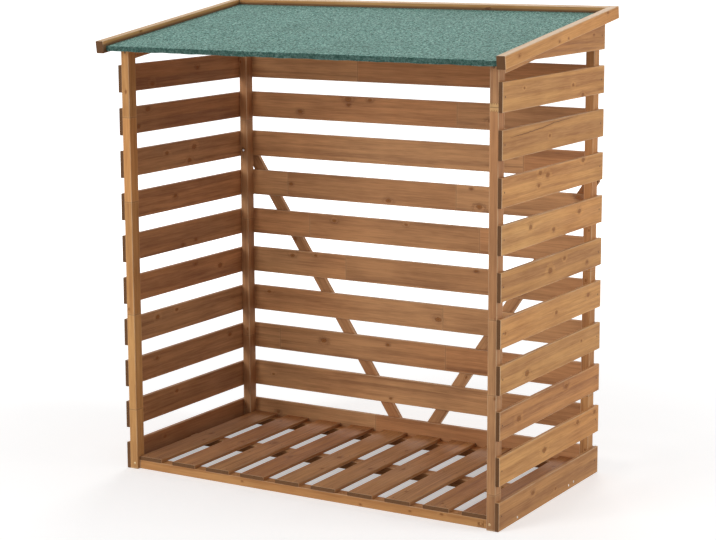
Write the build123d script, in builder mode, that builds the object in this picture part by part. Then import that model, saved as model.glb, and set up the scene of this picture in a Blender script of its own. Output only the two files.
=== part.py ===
"""Log store with slatted side and back walls and a lean-to felt roof.

Millimetres, +Z up. The open front looks along -Y. The origin is on the ground, under the middle of the roof.
"""

from build123d import *
import os
from math import cos, radians, sin, tan

os.makedirs("parts", exist_ok=True)

# Timber stock
board_height = 90
board_thickness = 12
batten_thickness = 30
batten_depth = 40
edge_break = 1.5

# Frame, measured over the outsides of the four posts
frame_width = 1376
frame_depth = 727
board_pitch = 141.3
side_board_count = 10
back_board_count = 11
side_board_run_past = 15
gable_nose_height = 6
gable_clearance = 14

# Floor
slat_count = 10
front_rail_setback = 12

# Roof
roof_angle = 7.6
front_overhang = 66
back_overhang = 30
side_overhang = 11
barge_width = 28
barge_proud = 18
deck_thickness = 12
deck_board_count = 8
deck_groove = 3
felt_thickness = 3
felt_fold_radius = 2.5
felt_setback = 16
felt_drop = 18

# Back braces
brace_width = 42
brace_thickness = 12
brace_board = 8
brace_head_drop = 23
brace_foot_height = 10
brace_foot_gap = 4

# Places worked out from the sizes above
tilt = radians(roof_angle)
slope = tan(tilt)
half_width = frame_width / 2
barge_run = front_overhang + frame_depth + back_overhang
barge_length = barge_run / cos(tilt)
roof_front = -(barge_run + batten_depth * sin(tilt)) / 2
frame_front = roof_front + front_overhang
frame_back = frame_front + frame_depth
post_middle = half_width - batten_thickness / 2
bay_width = frame_width - 2 * batten_thickness
side_board_middle = half_width + board_thickness / 2
side_board_length = frame_depth + side_board_run_past
side_board_back = frame_front + side_board_length
gable_bottom = side_board_count * board_pitch
deck_width = frame_width + 2 * (board_thickness + side_overhang)
barge_middle = deck_width / 2 + barge_width / 2
deck_start = felt_setback + felt_thickness
deck_end = barge_length - batten_thickness
deck_length = deck_end - deck_start

# Levels in the roof, below the top of the barge boards and square to the slope
felt_top = -barge_proud
deck_top = felt_top - felt_thickness
deck_underside = deck_top - deck_thickness


def underside_at(y):
    """Height of the deck's underside over a place y."""
    return gable_bottom + board_height + gable_clearance + (y - side_board_back) * slope


# The roof's own plane. Its origin is at the front top edge of the barge boards, and its Y runs up the slope.
roof_plane = Plane(
    origin=(0, roof_front, underside_at(roof_front) - deck_underside / cos(tilt)),
    x_dir=(1, 0, 0),
    z_dir=(0, -sin(tilt), cos(tilt)),
)
up_slope = Axis(roof_plane.origin, roof_plane.y_dir)

# The same place seen from the side: X runs up the slope, Y square off the roof
roof_side_plane = Plane(origin=roof_plane.origin, x_dir=roof_plane.y_dir, z_dir=roof_plane.x_dir)


def save(piece, name):
    """Labels a finished piece and writes its file."""
    piece.part.label = name
    export_step(piece.part, f"parts/{name}.step")


def make_post(name, x, front):
    """A post with its head cut to the slope of the roof."""
    back = front + batten_depth
    with BuildPart() as post:
        with BuildSketch(Plane.YZ.offset(x)):
            with BuildLine():
                Polyline(
                    (front, 0),
                    (back, 0),
                    (back, underside_at(back)),
                    (front, underside_at(front)),
                    close=True,
                )
            make_face()
        extrude(amount=batten_thickness / 2, both=True)
        chamfer(post.edges().filter_by(Axis.Z), length=edge_break)
    save(post, name)


def make_side_board(name, x, bottom):
    """A level board of a side wall, from the front of the posts to past the back boards."""
    with BuildPart() as side_board:
        with Locations((x, frame_front + side_board_length / 2, bottom + board_height / 2)):
            Box(board_thickness, side_board_length, board_height)
        chamfer(side_board.edges().filter_by(Axis.Y), length=edge_break)
    save(side_board, name)


def make_gable_board(name, x):
    """The top board of a side wall, ripped to the slope of the roof."""
    nose = max(frame_front, side_board_back - (board_height - gable_nose_height) / slope)
    nose_height = board_height - (side_board_back - nose) * slope
    with BuildPart() as gable_board:
        with BuildSketch(Plane.YZ.offset(x)):
            with BuildLine():
                Polyline(
                    (nose, gable_bottom),
                    (side_board_back, gable_bottom),
                    (side_board_back, gable_bottom + board_height),
                    (nose, gable_bottom + nose_height),
                    close=True,
                )
            make_face()
        extrude(amount=board_thickness / 2, both=True)
        chamfer(gable_board.edges().filter_by(Axis.Y), length=edge_break)
    save(gable_board, name)


def make_rafter(name, x):
    """A rafter between the heads of a front post and a back post."""
    front = frame_front + batten_depth
    back = frame_back - batten_depth
    upright_depth = batten_depth / cos(tilt)
    with BuildPart() as rafter:
        with BuildSketch(Plane.YZ.offset(x)):
            with BuildLine():
                Polyline(
                    (front, underside_at(front) - upright_depth),
                    (back, underside_at(back) - upright_depth),
                    (back, underside_at(back)),
                    (front, underside_at(front)),
                    close=True,
                )
            make_face()
        extrude(amount=batten_thickness / 2, both=True)
        chamfer(rafter.edges().filter_by(up_slope), length=edge_break)
    save(rafter, name)


def make_floor_rail(name, length, middle):
    """A rail lying on its wide side on the ground, under the slats."""
    with BuildPart() as floor_rail:
        with Locations((0, middle, batten_thickness / 2)):
            Box(length, batten_depth, batten_thickness)
        chamfer(floor_rail.edges().filter_by(Axis.X), length=edge_break)
    save(floor_rail, name)


def make_brace(name, side):
    """A lath from the middle of the back wall's foot up to a post.

    Side is 1 for the right one and -1 for the left one.
    """
    head_height = (brace_board - 1) * board_pitch + board_height - brace_head_drop
    foot = brace_foot_gap / 2
    spread = (half_width - foot) / (head_height - brace_foot_height)
    level_width = brace_width * (1 + spread**2) ** 0.5
    with BuildPart() as brace:
        with BuildSketch(Plane.XZ.offset(-frame_back - board_thickness)):
            with BuildLine():
                Polyline(
                    (side * foot, brace_foot_height),
                    (side * (foot + level_width), brace_foot_height),
                    (side * half_width, head_height - level_width / spread),
                    (side * half_width, head_height),
                    close=True,
                )
            make_face()
        extrude(amount=-brace_thickness)
    save(brace, name)


def make_barge_board(name, x):
    """A lath along a sloping edge of the roof, standing proud of the felt."""
    with BuildPart() as barge_board:
        with BuildSketch(roof_plane):
            with Locations((x, barge_length / 2)):
                Rectangle(barge_width, barge_length)
        extrude(amount=-batten_depth)
        chamfer(barge_board.edges().filter_by(up_slope), length=edge_break)
    save(barge_board, name)


# Posts
for side, hand in ((-1, "left"), (1, "right")):
    make_post(f"front_{hand}_post", side * post_middle, frame_front)
    make_post(f"back_{hand}_post", side * post_middle, frame_back - batten_depth)

# Side walls
for side, hand in ((-1, "left"), (1, "right")):
    for number in range(side_board_count):
        name = f"{hand}_side_board_{number + 1:02d}"
        make_side_board(name, side * side_board_middle, number * board_pitch)
    make_gable_board(f"{hand}_gable_board", side * side_board_middle)

# Back wall, held between the run-past ends of the side boards
with BuildPart() as back_boards:
    for number in range(back_board_count):
        height = number * board_pitch + board_height / 2
        with Locations((0, frame_back + board_thickness / 2, height)):
            Box(frame_width, board_thickness, board_height)
    chamfer(back_boards.edges().filter_by(Axis.X), length=edge_break)
save(back_boards, "back_boards")

make_brace("back_left_brace", -1)
make_brace("back_right_brace", 1)

# Floor
front_rail_middle = frame_front + front_rail_setback + batten_depth / 2
back_rail_middle = frame_back - batten_depth / 2
make_floor_rail("front_floor_rail", bay_width, front_rail_middle)
make_floor_rail("middle_floor_rail", frame_width, (front_rail_middle + back_rail_middle) / 2)
make_floor_rail("back_floor_rail", bay_width, back_rail_middle)

slat_pitch = (bay_width - board_height) / (slat_count - 1)
slat_length = frame_depth - front_rail_setback
with BuildPart() as floor_slats:
    slat_middle = frame_back - slat_length / 2
    with Locations((0, slat_middle, batten_thickness + board_thickness / 2)):
        with GridLocations(slat_pitch, 1, slat_count, 1):
            Box(board_height, slat_length, board_thickness)
    chamfer(floor_slats.edges().filter_by(Axis.Y), length=edge_break)
save(floor_slats, "floor_slats")

# Roof
make_rafter("left_rafter", -post_middle)
make_rafter("right_rafter", post_middle)

# The deck's boards run from side to side, with a V at each joint on the underside
deck_joints = [
    (deck_start + deck_length * number / deck_board_count, deck_underside)
    for number in range(1, deck_board_count)
]
with BuildPart() as roof_deck:
    with BuildSketch(roof_plane.offset(deck_underside)):
        with Locations((0, deck_start + deck_length / 2)):
            Rectangle(deck_width, deck_length)
    extrude(amount=deck_thickness)
    with BuildSketch(roof_side_plane.offset(-deck_width / 2)):
        with Locations(*deck_joints):
            Rectangle(deck_groove, deck_groove, rotation=45)
    extrude(amount=deck_width, mode=Mode.SUBTRACT)
save(roof_deck, "roof_deck")

# The felt lies on the deck and is folded down over its front edge
with BuildPart() as roof_felt:
    with BuildSketch(roof_plane.offset(deck_top)):
        with Locations((0, (felt_setback + deck_end) / 2)):
            Rectangle(deck_width, deck_end - felt_setback)
    extrude(amount=felt_thickness)
    with BuildSketch(roof_plane.offset(felt_top - felt_drop)):
        with Locations((0, felt_setback + felt_thickness / 2)):
            Rectangle(deck_width, felt_thickness)
    extrude(amount=felt_drop)
    fold = roof_felt.faces().sort_by(up_slope)[0].edges().sort_by(Axis.Z)[-1]
    fillet(fold, radius=felt_fold_radius)
save(roof_felt, "roof_felt")

make_barge_board("left_barge_board", -barge_middle)
make_barge_board("right_barge_board", barge_middle)

with BuildPart() as back_barge_board:
    with BuildSketch(roof_plane):
        with Locations((0, deck_end + batten_thickness / 2)):
            Rectangle(deck_width, batten_thickness)
    extrude(amount=-batten_depth)
    chamfer(back_barge_board.edges().filter_by(Axis.X), length=edge_break)
save(back_barge_board, "back_barge_board")
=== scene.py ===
"""Log store in stained softwood under a lean-to roof of green mineral felt.

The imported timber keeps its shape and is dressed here. The felt, the nails and the screws are made
in this file. Lengths are in metres. +Z is up and the open front looks along -Y.
"""

import logging
import math
import random
from dataclasses import dataclass, field
from enum import Enum
from typing import Optional, Union

import bmesh
import bpy
from mathutils import Matrix, Vector


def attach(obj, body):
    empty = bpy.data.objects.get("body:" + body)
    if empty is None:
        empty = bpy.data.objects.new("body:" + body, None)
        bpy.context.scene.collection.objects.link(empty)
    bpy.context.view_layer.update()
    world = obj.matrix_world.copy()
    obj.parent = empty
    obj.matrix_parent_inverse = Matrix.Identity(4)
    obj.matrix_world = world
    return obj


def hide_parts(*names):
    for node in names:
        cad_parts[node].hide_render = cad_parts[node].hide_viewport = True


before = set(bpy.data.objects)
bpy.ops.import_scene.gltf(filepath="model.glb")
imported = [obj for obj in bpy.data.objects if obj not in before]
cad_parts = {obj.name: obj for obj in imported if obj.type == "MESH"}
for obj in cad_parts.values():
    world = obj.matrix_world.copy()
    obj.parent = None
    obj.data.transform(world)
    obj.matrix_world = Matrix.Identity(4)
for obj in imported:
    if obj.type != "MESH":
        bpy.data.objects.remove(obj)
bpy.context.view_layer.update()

logging.basicConfig(level=logging.INFO, format="%(levelname)s %(message)s")
log = logging.getLogger("log_store")

Socket = bpy.types.NodeSocket
Value = Union[float, Socket]
Triple = tuple[float, float, float]

ROOF_TILT = math.radians(7.6)
UP_SLOPE: Triple = (0.0, math.cos(ROOF_TILT), math.sin(ROOF_TILT))
OFF_ROOF: Triple = (0.0, -math.sin(ROOF_TILT), math.cos(ROOF_TILT))
BOARD_PITCH = 0.1413
BOARD_HEIGHT = 0.09
BOARD_MIDDLE = BOARD_HEIGHT / 2

# How far apart in the tree two boards of a row, or two jointed lengths, are cut
BOARD_SEED_STEP = 5.37
LENGTH_SEED_STEP = 3.71

# How the boards were sawn past the heart of the tree, in metres
RINGS_PER_METRE = 240.0
HEART_DEPTH = 0.034
HEART_STRAY = 0.16
RING_SWAY = 0.050
FACE_SPACING = 0.011

# A knot's width over its length, how far it pushes the rings aside, and how much it deepens the stain
KNOT_DRAW = 0.62
KNOT_PUSH = 0.003
KNOT_STAIN = 0.20

# Stain of plain wood, and the least and the added weight of a board's rings in it
PLAIN_STAIN = 0.29
LEAST_RINGS = 0.06
ADDED_RINGS = 0.52

# A distance that no mark reaches over
FAR_OFF = 9.0


class Lie(Enum):
    """How a piece of timber lies: the ways along the grain, across the face and through the piece."""

    SIDE_BOARD = ((0.0, 1.0, 0.0), (0.0, 0.0, 1.0), (1.0, 0.0, 0.0))
    BACK_BOARD = ((1.0, 0.0, 0.0), (0.0, 0.0, 1.0), (0.0, 1.0, 0.0))
    POST = ((0.0, 0.0, 1.0), (1.0, 0.0, 0.0), (0.0, 1.0, 0.0))
    RAIL = ((1.0, 0.0, 0.0), (0.0, 0.0, 1.0), (0.0, 1.0, 0.0))
    SLAT = ((0.0, 1.0, 0.0), (1.0, 0.0, 0.0), (0.0, 0.0, 1.0))
    BARGE = (UP_SLOPE, OFF_ROOF, (1.0, 0.0, 0.0))
    BACK_BARGE = ((1.0, 0.0, 0.0), OFF_ROOF, UP_SLOPE)
    DECK = ((1.0, 0.0, 0.0), UP_SLOPE, OFF_ROOF)
    LEFT_BRACE = ((-0.548, 0.0, 0.8365), (0.8365, 0.0, 0.548), (0.0, 1.0, 0.0))
    RIGHT_BRACE = ((0.548, 0.0, 0.8365), (0.8365, 0.0, -0.548), (0.0, 1.0, 0.0))

    @property
    def along(self) -> Triple:
        """The way the grain runs."""
        return self.value[0]

    @property
    def across(self) -> Triple:
        """The way over the wide face, square to the grain."""
        return self.value[1]

    @property
    def through(self) -> Triple:
        """The way through the thickness."""
        return self.value[2]


class Tone(Enum):
    """Depth of the stain, as the colours of the soft and the hard part of a growth ring."""

    HONEY = ((0.660, 0.352, 0.128), (0.390, 0.172, 0.052))
    AMBER = ((0.590, 0.300, 0.112), (0.315, 0.132, 0.044))
    CHESTNUT = ((0.590, 0.312, 0.138), (0.290, 0.136, 0.058))
    RUSSET = ((0.520, 0.268, 0.118), (0.265, 0.120, 0.050))

    @property
    def pale(self) -> Triple:
        """Colour of the soft wood of a ring."""
        return self.value[0]

    @property
    def deep(self) -> Triple:
        """Colour of the hard wood of a ring."""
        return self.value[1]


class Head(Enum):
    """Kinds of fixing seen on the store, as radius, height of the dome and depth of the cross."""

    OVAL_NAIL = (0.0017, 0.0003, 0.0)
    PAN_SCREW = (0.0042, 0.0012, 0.0012)
    SUNK_SCREW = (0.0036, 0.0004, 0.0010)


class Mark(Enum):
    """Colours of what shows on the stained wood, with painted highlights and painted shade among them."""

    RUDDY = (0.930, 0.620, 0.420)
    SMOKY = (0.800, 0.740, 0.700)
    KNOT_CORE = (0.276, 0.087, 0.011)
    KNOT_RIM = (0.130, 0.046, 0.011)
    KNOT_EYE = (0.080, 0.030, 0.012)
    SPLIT_BLUSH = (0.330, 0.140, 0.046)
    SPLIT_LINE = (0.120, 0.045, 0.015)
    NAIL_BLACKING = (0.095, 0.045, 0.022)
    JOINT_PALE = (0.640, 0.400, 0.200)
    JOINT_LINE = (0.150, 0.065, 0.028)
    FINGER_PALE = (0.740, 0.480, 0.190)
    FINGER_LINE = (0.190, 0.080, 0.032)
    # Painted highlight along the edges and cut ends
    EDGE_HIGHLIGHT = (0.800, 0.600, 0.390)
    # Painted highlight on the tops of the barge boards
    TOP_HIGHLIGHT = (0.890, 0.625, 0.385)
    # Painted shade in the crease by the felt
    CREASE_SHADE = (0.075, 0.038, 0.020)
    # What the wood is darkened towards near the ground
    LOW_DARKENING = (0.300, 0.150, 0.070)


class Pattern(Enum):
    """Patterns in the wood: waves across and along the grain, octaves, roughness and weight in the stain."""

    STREAK = (42.0, 1.2, 3.0, 0.62, 1.25)
    FLECK = (128.0, 3.4, 3.0, 0.68, 1.30)
    FIBRE = (330.0, 9.0, 2.0, 0.60, 0.75)
    CLOUD = (10.0, 3.2, 3.0, 0.60, 1.00)

    @property
    def weight(self) -> float:
        """How much the pattern deepens the stain."""
        return self.value[4]


class Sheet:
    """The node tree of a material or of the surround, filled one node at a time."""

    def __init__(self, owner: Union[bpy.types.Material, bpy.types.World]) -> None:
        """Starts an empty tree.

        Args:
            owner: the material or world that the tree belongs to.
        """
        self.owner = owner
        owner.use_nodes = True
        self.tree = owner.node_tree
        self.tree.nodes.clear()

    def put(self, kind: str, **settings: object) -> bpy.types.Node:
        """Adds a node.

        Args:
            kind: the node's type without its leading "ShaderNode".
            settings: properties to set on it.

        Returns:
            The new node.
        """
        node = self.tree.nodes.new("ShaderNode" + kind)
        for key, value in settings.items():
            setattr(node, key, value)
        return node

    def feed(self, socket: Socket, value: object) -> None:
        """Links a socket to another or sets its constant.

        Args:
            socket: the socket that is fed.
            value: an output socket, or the constant.
        """
        if isinstance(value, bpy.types.NodeSocket):
            self.tree.links.new(value, socket)
        elif isinstance(value, tuple) and len(value) == 3 and socket.type == "RGBA":
            socket.default_value = (*value, 1.0)
        else:
            socket.default_value = value

    def math(self, operation: str, a: Value, b: Value = 0.0, clamp: bool = False) -> Socket:
        """Adds a math node.

        Args:
            operation: what it works out.
            a: the first value.
            b: the second value.
            clamp: whether the result is held from 0 to 1.

        Returns:
            The result.
        """
        node = self.put("Math", operation=operation, use_clamp=clamp)
        self.feed(node.inputs[0], a)
        self.feed(node.inputs[1], b)
        return node.outputs[0]

    def plus(self, a: Value, b: Value, clamp: bool = False) -> Socket:
        """Adds two values."""
        return self.math("ADD", a, b, clamp)

    def minus(self, a: Value, b: Value) -> Socket:
        """Takes the second value from the first."""
        return self.math("SUBTRACT", a, b)

    def times(self, a: Value, b: Value, clamp: bool = False) -> Socket:
        """Multiplies two values."""
        return self.math("MULTIPLY", a, b, clamp)

    def size(self, value: Value) -> Socket:
        """Drops the sign of a value."""
        return self.math("ABSOLUTE", value)

    def dot(self, vector: Socket, way: Triple) -> Socket:
        """Measures a place along a way.

        Args:
            vector: the place.
            way: the way, of length 1 where the result is a distance.

        Returns:
            The dot product.
        """
        node = self.put("VectorMath", operation="DOT_PRODUCT")
        self.feed(node.inputs[0], vector)
        node.inputs[1].default_value = way
        return node.outputs["Value"]

    def vector(self, x: Value, y: Value, z: Value) -> Socket:
        """Joins three values into a vector.

        Args:
            x: the first value.
            y: the second value.
            z: the third value.

        Returns:
            The vector.
        """
        node = self.put("CombineXYZ")
        for socket, value in zip(node.inputs, (x, y, z)):
            self.feed(socket, value)
        return node.outputs[0]

    def noise(self, place: Socket, scale: float, detail: float = 2.0, roughness: float = 0.5) -> Socket:
        """Adds smooth noise from 0 to 1.

        Args:
            place: where the noise is read.
            scale: waves to a unit of place.
            detail: octaves.
            roughness: share that each finer octave keeps.

        Returns:
            The noise value.
        """
        node = self.put("TexNoise")
        self.feed(node.inputs["Vector"], place)
        node.inputs["Scale"].default_value = scale
        node.inputs["Detail"].default_value = detail
        node.inputs["Roughness"].default_value = roughness
        return node.outputs["Fac"]

    def rise(self, value: Value, low: float, high: float) -> Socket:
        """Adds a smooth step from 0 to 1.

        Args:
            value: what is stepped.
            low: the value that gives 0.
            high: the value that gives 1.

        Returns:
            The step.
        """
        node = self.put("MapRange", interpolation_type="SMOOTHSTEP")
        self.feed(node.inputs["Value"], value)
        node.inputs["From Min"].default_value = low
        node.inputs["From Max"].default_value = high
        return node.outputs["Result"]

    def fall(self, value: Value, low: float, high: float) -> Socket:
        """Smooth step from 1 at low to 0 at high."""
        return self.minus(1.0, self.rise(value, low, high))

    def mix(self, share: Value, a: object, b: object, blend: str = "MIX") -> Socket:
        """Mixes two colours.

        Args:
            share: how much of b is taken, from 0 to 1.
            a: the first colour.
            b: the second colour.
            blend: the way they mix.

        Returns:
            The mixed colour.
        """
        node = self.put("Mix", data_type="RGBA", blend_type=blend, clamp_factor=True)
        self.feed(node.inputs[0], share)
        self.feed(node.inputs[6], a)
        self.feed(node.inputs[7], b)
        return node.outputs[2]

    def lay(self, colour: Socket, where: Value, amount: float, mark: Mark) -> Socket:
        """Lays a mark over part of a colour."""
        return self.mix(self.times(where, amount), colour, mark.value)

    def bump(self, height: Socket, strength: float, distance: float) -> Socket:
        """Adds a bump.

        Args:
            height: how high the surface stands.
            strength: share of the bump that shows.
            distance: height of a whole unit, in metres.

        Returns:
            The bumped normal.
        """
        node = self.put("Bump")
        node.inputs["Strength"].default_value = strength
        node.inputs["Distance"].default_value = distance
        self.feed(node.inputs["Height"], height)
        return node.outputs["Normal"]

    def seen(self) -> Socket:
        """Finds the rays that a viewer sees, straight or in metal and glass.

        Returns:
            1 for such a ray, else 0.
        """
        rays = self.put("LightPath").outputs
        either = self.math("MAXIMUM", rays["Is Camera Ray"], rays["Is Glossy Ray"])
        return self.math("MAXIMUM", either, rays["Is Transmission Ray"])

    def surface(self, **inputs: object) -> bpy.types.Material:
        """Ends the tree in one shader.

        Args:
            inputs: the shader's sockets by name, with _ for a space.

        Returns:
            The finished material.
        """
        shader = self.put("BsdfPrincipled")
        for key, value in inputs.items():
            self.feed(shader.inputs[key.replace("_", " ")], value)
        self.feed(self.put("OutputMaterial").inputs["Surface"], shader.outputs[0])
        return self.owner


@dataclass(frozen=True)
class Knot:
    """A knot in a face, by its place along the grain and across it."""

    along: float
    across: float
    radius: float = 0.006


@dataclass(frozen=True)
class Shake:
    """A dark split that follows the grain, as places along the face and across it."""

    places: tuple[tuple[float, float], ...]


@dataclass
class Face:
    """Where a point lies on a piece of timber, and the patterns that its stain follows.

    Attributes:
        along: place along the grain.
        across: place over the wide face.
        through: place through the piece.
        run: place along the grain that joints are counted from.
        level: place across from the board's middle.
        half: half the board's width.
        seed: picks the piece of tree.
        near: radii to the nearest knot.
        rings: 0 in the soft wood and up to 1 in the hard line of each ring.
        patterns: the patterns in the wood.
    """

    along: Socket
    across: Socket
    through: Socket
    run: Socket
    level: Socket
    half: float
    seed: Value
    near: Value
    rings: Value = 0.0
    patterns: dict[Pattern, Socket] = field(default_factory=dict)


@dataclass(frozen=True)
class StainedTimber:
    """Softwood under a thin brown stain, with rings, fibre, knots, dark ends and painted highlights on the
    edges.

    Attributes:
        name: the material's name.
        lie: which way the grain runs.
        low: lowest place of the piece along, across and through.
        high: highest place of the piece along, across and through.
        tone: depth of the stain.
        seed: picks the piece of tree.
        knots: the knots of its faces.
        pitch: spacing of the boards across, where the node holds many, else 0.
        joints: places along the grain where short lengths are jointed.
        starts: where the joints of each board in a row are counted from, from the lowest up.
        bands: places along the grain of joints whose fingers show pale.
        nails: places along and across of nails that have stained the wood.
        shake: a split in the face.
        highlight_way: a way whose faces get a painted highlight.
        inward: a way whose faces get painted shade where they meet the felt.
        end: colour of the cut ends.
    """

    name: str
    lie: Lie
    low: Triple
    high: Triple
    tone: Tone
    seed: float
    knots: tuple[Knot, ...] = ()
    pitch: float = 0.0
    joints: tuple[float, ...] = ()
    starts: tuple[float, ...] = ()
    bands: tuple[float, ...] = ()
    nails: tuple[Knot, ...] = ()
    shake: Optional[Shake] = None
    highlight_way: Optional[Triple] = None
    inward: Optional[Triple] = None
    end: Triple = (0.150, 0.064, 0.020)

    def make(self) -> bpy.types.Material:
        """Builds the node tree.

        Returns:
            The material.
        """
        s = Sheet(bpy.data.materials.new(self.name))
        place = s.put("TexCoord").outputs["Object"]
        facing = s.put("NewGeometry").outputs["Normal"]
        face = self._face(s, place)
        core, halo = s.fall(face.near, 0.60, 1.15), s.fall(face.near, 0.7, 3.4)
        face.rings = self._rings(s, face, halo)
        slow = s.vector(s.plus(s.times(face.along, 1.6), face.seed), face.level, face.through)
        for pattern in Pattern:
            face.patterns[pattern] = self._pattern(s, slow, pattern)
        fibre = face.patterns[Pattern.FIBRE]
        colour = self._stained(s, face, halo)
        colour = self._knotted(s, face, colour, core)
        if self.shake:
            colour = self._split(s, face, colour, self.shake)
        if self.nails:
            stain = s.fall(self._nearest(s, self.nails, face.along, face.across, 1.0), 0.7, 2.2)
            colour = s.lay(colour, stain, 0.72, Mark.NAIL_BLACKING)
        colour = self._jointed(s, face, colour)
        colour = self._paint_light_and_shade(s, face, colour, facing)
        cut = s.rise(s.size(s.dot(facing, self.lie.along)), 0.75, 0.9)
        pore = s.plus(s.times(face.rings, 0.35), s.times(face.patterns[Pattern.STREAK], 0.5))
        colour = s.mix(cut, colour, s.mix(pore, self.end, tuple(0.45 * part for part in self.end)))
        # Darker towards the ground
        low_down = s.fall(s.dot(place, (0.0, 0.0, 1.0)), 0.0, 0.14)
        colour = s.lay(colour, low_down, 0.22, Mark.LOW_DARKENING)
        rough = s.plus(s.plus(s.times(fibre, 0.20), s.times(face.rings, -0.06)), 0.54, clamp=True)
        relief = s.plus(s.times(fibre, 0.7), s.times(face.rings, 0.45))
        normal = s.bump(s.minus(relief, s.times(core, 0.25)), 0.35, 0.0008)
        return s.surface(Base_Color=colour, Roughness=rough, Specular_IOR_Level=0.22, Normal=normal)

    def _face(self, s: Sheet, place: Socket) -> Face:
        """Finds where a point lies on its board and in the tree.

        Args:
            s: the tree that is filled.
            place: the point.

        Returns:
            The places on the face, still without rings and patterns.
        """
        along, across, through = (s.dot(place, way) for way in self.lie.value)
        run, seed = along, self.seed
        if self.pitch:
            half = BOARD_MIDDLE
            board = s.math("FLOOR", s.math("DIVIDE", s.minus(across, self.low[1] - 0.01), self.pitch))
            seed = s.plus(s.times(board, BOARD_SEED_STEP), seed)
            level = s.minus(s.minus(across, s.times(board, self.pitch)), self.low[1] + half)
            for number, start in enumerate(self.starts):
                run = s.minus(run, s.times(s.math("COMPARE", board, float(number)), start))
        else:
            half = (self.high[1] - self.low[1]) / 2
            level = s.minus(across, (self.low[1] + self.high[1]) / 2)
        passed: Value = 0.0
        for joint in self.joints:
            passed = s.plus(passed, s.math("GREATER_THAN", run, joint))
        if self.joints:
            seed = s.plus(s.times(passed, LENGTH_SEED_STEP), seed)
        near = self._nearest(s, self.knots, along, across, KNOT_DRAW)
        return Face(along, across, through, run, level, half, seed, near)

    @staticmethod
    def _pattern(s: Sheet, slow: Socket, pattern: Pattern) -> Socket:
        """Adds noise that is long with the grain and fine across it.

        Args:
            s: the tree that is filled.
            slow: place in the tree, drawn out along the grain.
            pattern: the kind of pattern.

        Returns:
            The noise, from 0 to 1.
        """
        across, along, detail, roughness, _ = pattern.value
        node = s.put("VectorMath", operation="MULTIPLY")
        s.feed(node.inputs[0], slow)
        node.inputs[1].default_value = (along, across, across)
        return s.noise(node.outputs[0], 1.0, detail, roughness)

    @staticmethod
    def _rings(s: Sheet, face: Face, halo: Socket) -> Socket:
        """Growth rings as a board sawn beside the heart shows them.

        Args:
            s: the tree that is filled.
            face: the places on the face.
            halo: how near a knot is, from 0 to 1.

        Returns:
            0 in the soft wood and up to 1 in the hard line of each ring.
        """
        seed = face.seed
        drift = s.vector(s.plus(s.times(face.along, 1.3), seed), s.times(face.level, 6.0), seed)
        sway = s.times(s.minus(s.noise(drift, 1.0, 2.0), 0.5), RING_SWAY)
        wander = s.noise(s.vector(seed, seed, 0.4), 1.0, 0.0)
        heart = s.times(s.minus(wander, 0.5), HEART_STRAY)
        sideways = s.plus(s.plus(face.level, sway), heart)
        deep = s.plus(s.math("WRAP", face.through, FACE_SPACING), HEART_DEPTH)
        reach = s.math("SQRT", s.plus(s.math("POWER", sideways, 2.0), s.math("POWER", deep, 2.0)))
        turn = s.math("FRACT", s.times(s.plus(reach, s.times(halo, KNOT_PUSH)), RINGS_PER_METRE))
        return s.times(s.rise(turn, 0.30, 0.86), s.fall(turn, 0.90, 1.0))

    def _stained(self, s: Sheet, face: Face, halo: Socket) -> Socket:
        """Stains the bare wood, deeper in the hard lines and streaks and round the knots.

        Args:
            s: the tree that is filled.
            face: the places on the face.
            halo: how near a knot is, from 0 to 1.

        Returns:
            The colour.
        """
        seed = face.seed
        figure = s.times(s.noise(s.vector(0.7, seed, seed), 1.0, 0.0), ADDED_RINGS)
        depth = s.times(face.rings, s.plus(figure, LEAST_RINGS))
        for pattern, noise in face.patterns.items():
            depth = s.plus(depth, s.times(s.minus(noise, 0.5), pattern.weight))
        depth = s.plus(s.plus(depth, s.times(halo, KNOT_STAIN)), PLAIN_STAIN, clamp=True)
        colour = s.mix(depth, self.tone.pale, self.tone.deep)
        tint = s.noise(s.vector(seed, s.times(face.along, 0.9), 0.37), 1.0, 1.0)
        ruddy = s.mix(0.3, colour, Mark.RUDDY.value, "MULTIPLY")
        colour = s.mix(s.rise(tint, 0.42, 0.66), colour, ruddy)
        smoke = s.rise(s.noise(s.vector(3.1, 0.9, seed), 1.0, 0.0), 0.48, 0.68)
        return s.mix(s.times(smoke, 0.75), colour, s.mix(1.0, colour, Mark.SMOKY.value, "MULTIPLY"))

    @staticmethod
    def _knotted(s: Sheet, face: Face, colour: Socket, core: Socket) -> Socket:
        """Colours the knots, with a dark rim and a darker eye.

        Args:
            s: the tree that is filled.
            face: the places on the face.
            colour: the colour so far.
            core: 1 inside a knot, else 0.

        Returns:
            The colour.
        """
        colour = s.lay(colour, core, 0.74, Mark.KNOT_CORE)
        rim = s.times(s.rise(face.near, 0.55, 0.85), s.fall(face.near, 0.95, 1.30))
        colour = s.lay(colour, rim, 0.45, Mark.KNOT_RIM)
        return s.lay(colour, s.fall(face.near, 0.0, 0.45), 0.55, Mark.KNOT_EYE)

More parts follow.
